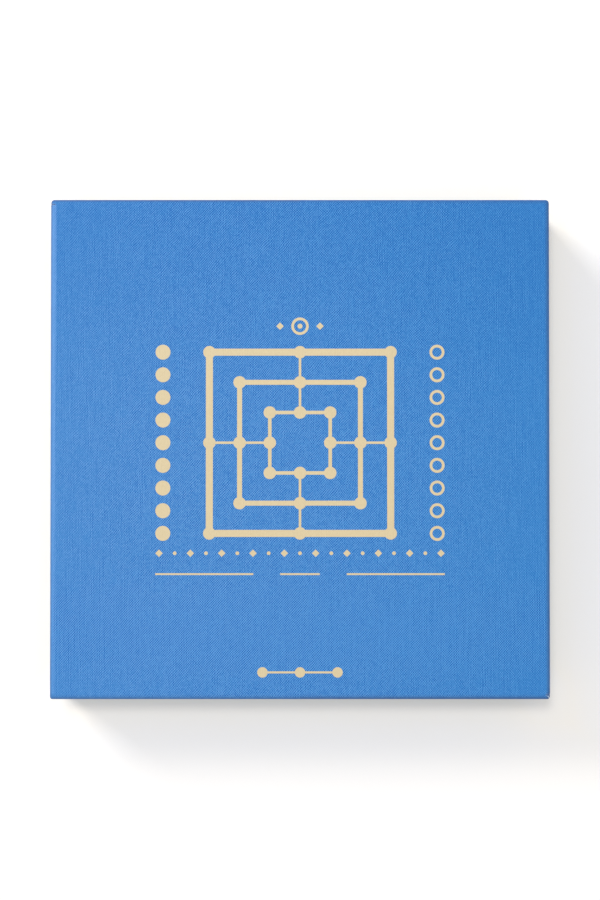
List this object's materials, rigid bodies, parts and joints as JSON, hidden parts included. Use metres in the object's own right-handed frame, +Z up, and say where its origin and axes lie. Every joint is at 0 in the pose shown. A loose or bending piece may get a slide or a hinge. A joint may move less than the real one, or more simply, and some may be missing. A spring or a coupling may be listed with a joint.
{
  "type": "nine men's morris box",
  "caption": "Flat square rigid game box in book cloth with a lift-off lid over an inner neck, a loose playing board, turned wooden men in foam wells and a rules booklet.",
  "frame": {"origin": "middle of the base's underside, on the table", "axes": "+Z up through the lid, -Y towards the front of the box, +X to its right"},
  "size_m": [0.24, 0.24, 0.038],
  "materials": {
    "book_cloth": "blue book cloth",
    "foil": "cream-gold stamped foil",
    "greyboard": "grey board",
    "lining_paper": "uncoated paper",
    "foam": "fine-celled foam",
    "fibreboard": "raw",
    "printed_sheet": "matt varnish",
    "line_ink": "matt",
    "ribbon": "satin",
    "booklet_paper": "uncoated paper",
    "wire": "bright",
    "light_wood": "oiled beech",
    "dark_wood": "blue stain"
  },
  "bodies": {
    "base": {"base_cloth": "book_cloth", "base_floor_board": "greyboard", "base_front_wall": "greyboard", "base_left_wall": "greyboard", "base_rear_wall": "greyboard", "base_right_wall": "greyboard", "base_underside_sheet": "lining_paper", "foam_block_left": "foam", "foam_block_rear": "foam", "foam_block_right": "foam", "foam_rail_front": "foam", "foam_rail_left": "foam", "foam_rail_rear": "foam", "foam_rail_right": "foam", "foam_slab": "foam", "foam_wells_dark": "foam", "foam_wells_light": "foam", "neck_front": "greyboard", "neck_left": "greyboard", "neck_paper": "lining_paper", "neck_rear": "greyboard", "neck_right": "greyboard"},
    "lid": {"lid_cloth": "book_cloth", "lid_foil": "foil", "lid_front_wall": "greyboard", "lid_left_wall": "greyboard", "lid_lining": "lining_paper", "lid_rear_wall": "greyboard", "lid_right_wall": "greyboard", "lid_top_board": "greyboard"},
    "playing_board": {"board_core": "fibreboard", "board_lines": "line_ink", "board_printed_sheet": "printed_sheet", "board_ribbon": "ribbon", "board_underside_sheet": "printed_sheet"},
    "booklet": {"booklet_cover": "booklet_paper", "booklet_pages": "booklet_paper", "booklet_staples": "wire"},
    "light_man_1": {"light_man_1": "light_wood"},
    "light_man_2": {"light_man_2": "light_wood"},
    "light_man_3": {"light_man_3": "light_wood"},
    "light_man_4": {"light_man_4": "light_wood"},
    "light_man_5": {"light_man_5": "light_wood"},
    "light_man_6": {"light_man_6": "light_wood"},
    "light_man_7": {"light_man_7": "light_wood"},
    "light_man_8": {"light_man_8": "light_wood"},
    "light_man_9": {"light_man_9": "light_wood"},
    "dark_man_1": {"dark_man_1": "dark_wood"},
    "dark_man_2": {"dark_man_2": "dark_wood"},
    "dark_man_3": {"dark_man_3": "dark_wood"},
    "dark_man_4": {"dark_man_4": "dark_wood"},
    "dark_man_5": {"dark_man_5": "dark_wood"},
    "dark_man_6": {"dark_man_6": "dark_wood"},
    "dark_man_7": {"dark_man_7": "dark_wood"},
    "dark_man_8": {"dark_man_8": "dark_wood"},
    "dark_man_9": {"dark_man_9": "dark_wood"}
  },
  "joints": [
    {"name": "lid_lift", "type": "slide", "parent": "base", "child": "lid", "axis": [0, 0, 1], "range_m": [0, 0.15]},
    {"name": "board_lift", "type": "slide", "parent": "base", "child": "playing_board", "axis": [0, 0, 1], "range_m": [0, 0.09]},
    {"name": "booklet_lift", "type": "slide", "parent": "base", "child": "booklet", "axis": [0, 0, 1], "range_m": [0, 0.0375]},
    {"name": "light_man_1_lift", "type": "slide", "parent": "base", "child": "light_man_1", "axis": [0, 0, 1], "range_m": [0, 0.045]},
    {"name": "light_man_2_lift", "type": "slide", "parent": "base", "child": "light_man_2", "axis": [0, 0, 1], "range_m": [0, 0.045]},
    {"name": "light_man_3_lift", "type": "slide", "parent": "base", "child": "light_man_3", "axis": [0, 0, 1], "range_m": [0, 0.045]},
    {"name": "light_man_4_lift", "type": "slide", "parent": "base", "child": "light_man_4", "axis": [0, 0, 1], "range_m": [0, 0.045]},
    {"name": "light_man_5_lift", "type": "slide", "parent": "base", "child": "light_man_5", "axis": [0, 0, 1], "range_m": [0, 0.045]},
    {"name": "light_man_6_lift", "type": "slide", "parent": "base", "child": "light_man_6", "axis": [0, 0, 1], "range_m": [0, 0.045]},
    {"name": "light_man_7_lift", "type": "slide", "parent": "base", "child": "light_man_7", "axis": [0, 0, 1], "range_m": [0, 0.045]},
    {"name": "light_man_8_lift", "type": "slide", "parent": "base", "child": "light_man_8", "axis": [0, 0, 1], "range_m": [0, 0.045]},
    {"name": "light_man_9_lift", "type": "slide", "parent": "base", "child": "light_man_9", "axis": [0, 0, 1], "range_m": [0, 0.045]},
    {"name": "dark_man_1_lift", "type": "slide", "parent": "base", "child": "dark_man_1", "axis": [0, 0, 1], "range_m": [0, 0.045]},
    {"name": "dark_man_2_lift", "type": "slide", "parent": "base", "child": "dark_man_2", "axis": [0, 0, 1], "range_m": [0, 0.045]},
    {"name": "dark_man_3_lift", "type": "slide", "parent": "base", "child": "dark_man_3", "axis": [0, 0, 1], "range_m": [0, 0.045]},
    {"name": "dark_man_4_lift", "type": "slide", "parent": "base", "child": "dark_man_4", "axis": [0, 0, 1], "range_m": [0, 0.045]},
    {"name": "dark_man_5_lift", "type": "slide", "parent": "base", "child": "dark_man_5", "axis": [0, 0, 1], "range_m": [0, 0.045]},
    {"name": "dark_man_6_lift", "type": "slide", "parent": "base", "child": "dark_man_6", "axis": [0, 0, 1], "range_m": [0, 0.045]},
    {"name": "dark_man_7_lift", "type": "slide", "parent": "base", "child": "dark_man_7", "axis": [0, 0, 1], "range_m": [0, 0.045]},
    {"name": "dark_man_8_lift", "type": "slide", "parent": "base", "child": "dark_man_8", "axis": [0, 0, 1], "range_m": [0, 0.045]},
    {"name": "dark_man_9_lift", "type": "slide", "parent": "base", "child": "dark_man_9", "axis": [0, 0, 1], "range_m": [0, 0.045]}
  ],
  "couplings": [
    {"joint": "board_lift", "follows": "lid_lift", "ratio": 0.6},
    {"joint": "booklet_lift", "follows": "lid_lift", "ratio": 0.25},
    {"joint": "light_man_1_lift", "follows": "lid_lift", "ratio": 0.3},
    {"joint": "light_man_2_lift", "follows": "lid_lift", "ratio": 0.3},
    {"joint": "light_man_3_lift", "follows": "lid_lift", "ratio": 0.3},
    {"joint": "light_man_4_lift", "follows": "lid_lift", "ratio": 0.3},
    {"joint": "light_man_5_lift", "follows": "lid_lift", "ratio": 0.3},
    {"joint": "light_man_6_lift", "follows": "lid_lift", "ratio": 0.3},
    {"joint": "light_man_7_lift", "follows": "lid_lift", "ratio": 0.3},
    {"joint": "light_man_8_lift", "follows": "lid_lift", "ratio": 0.3},
    {"joint": "light_man_9_lift", "follows": "lid_lift", "ratio": 0.3},
    {"joint": "dark_man_1_lift", "follows": "lid_lift", "ratio": 0.3},
    {"joint": "dark_man_2_lift", "follows": "lid_lift", "ratio": 0.3},
    {"joint": "dark_man_3_lift", "follows": "lid_lift", "ratio": 0.3},
    {"joint": "dark_man_4_lift", "follows": "lid_lift", "ratio": 0.3},
    {"joint": "dark_man_5_lift", "follows": "lid_lift", "ratio": 0.3},
    {"joint": "dark_man_6_lift", "follows": "lid_lift", "ratio": 0.3},
    {"joint": "dark_man_7_lift", "follows": "lid_lift", "ratio": 0.3},
    {"joint": "dark_man_8_lift", "follows": "lid_lift", "ratio": 0.3},
    {"joint": "dark_man_9_lift", "follows": "lid_lift", "ratio": 0.3}
  ]
}
